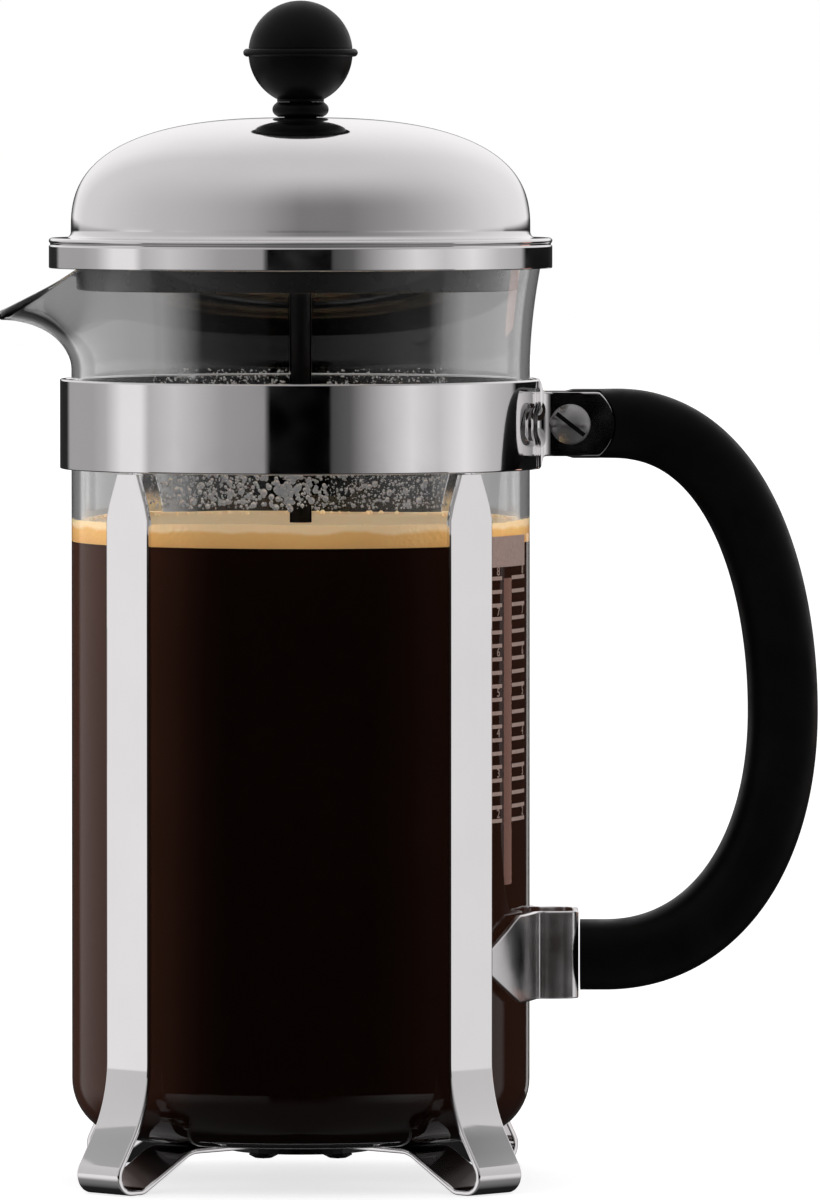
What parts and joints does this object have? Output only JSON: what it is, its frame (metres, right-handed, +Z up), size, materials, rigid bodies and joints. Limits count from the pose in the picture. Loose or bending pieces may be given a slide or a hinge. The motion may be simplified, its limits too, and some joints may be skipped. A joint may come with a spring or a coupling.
{
  "type": "french press",
  "caption": "Cafetiere with a spouted glass beaker in a chromed strap frame, a curved side handle, a domed lid and a knobbed plunger with a filter.",
  "frame": {"origin": "middle of the press's overall box at the level its feet stand on", "axes": "+Z up along the beaker's axis, +X towards the handle, -X towards the spout, the press is the same on both sides of the XZ plane"},
  "size_m": [0.171, 0.1054, 0.2469],
  "materials": {
    "glass": "clear borosilicate glass",
    "chrome": "polished chrome plate",
    "steel": "satin stainless steel",
    "handle_plastic": "black, fine satin grain",
    "knob_plastic": "black, satin",
    "lid_plastic": "black, smooth",
    "brass": "plain turned brass"
  },
  "bodies": {
    "frame": {"glass_beaker": "glass", "collar_band": "chrome", "leg_front_left": "chrome", "leg_front_right": "chrome", "leg_rear_left": "chrome", "leg_rear_right": "chrome", "leg_rivet_front_left": "steel", "leg_rivet_front_right": "steel", "leg_rivet_rear_left": "steel", "leg_rivet_rear_right": "steel", "base_hub": "chrome", "handle_bracket": "chrome", "handle": "handle_plastic", "clamp_screw": "chrome", "clamp_washer": "steel", "clamp_nut": "chrome"},
    "lid_core": {"lid_bush": "knob_plastic", "lid_nut": "steel"},
    "lid": {"lid_dome": "chrome", "lid_collar": "lid_plastic"},
    "plunger": {"knob_cap": "knob_plastic", "knob_base": "knob_plastic", "knob_insert": "brass", "plunger_rod": "steel", "spiral_plate": "steel", "filter_spring": "steel", "filter_mesh": "steel", "filter_plate": "steel", "filter_nut": "steel"}
  },
  "joints": [
    {"name": "lid_lift", "type": "slide", "parent": "frame", "child": "lid_core", "axis": [0, 0, 1], "range_m": [0, 0.185]},
    {"name": "lid_turn", "type": "hinge", "parent": "lid_core", "child": "lid", "pos_m": [-0.0229, 0, 0.19], "axis": [0, 0, 1], "continuous": true},
    {"name": "plunger_slide", "type": "slide", "parent": "lid_core", "child": "plunger", "axis": [0, 0, 1], "range_m": [0, 0.155]}
  ]
}
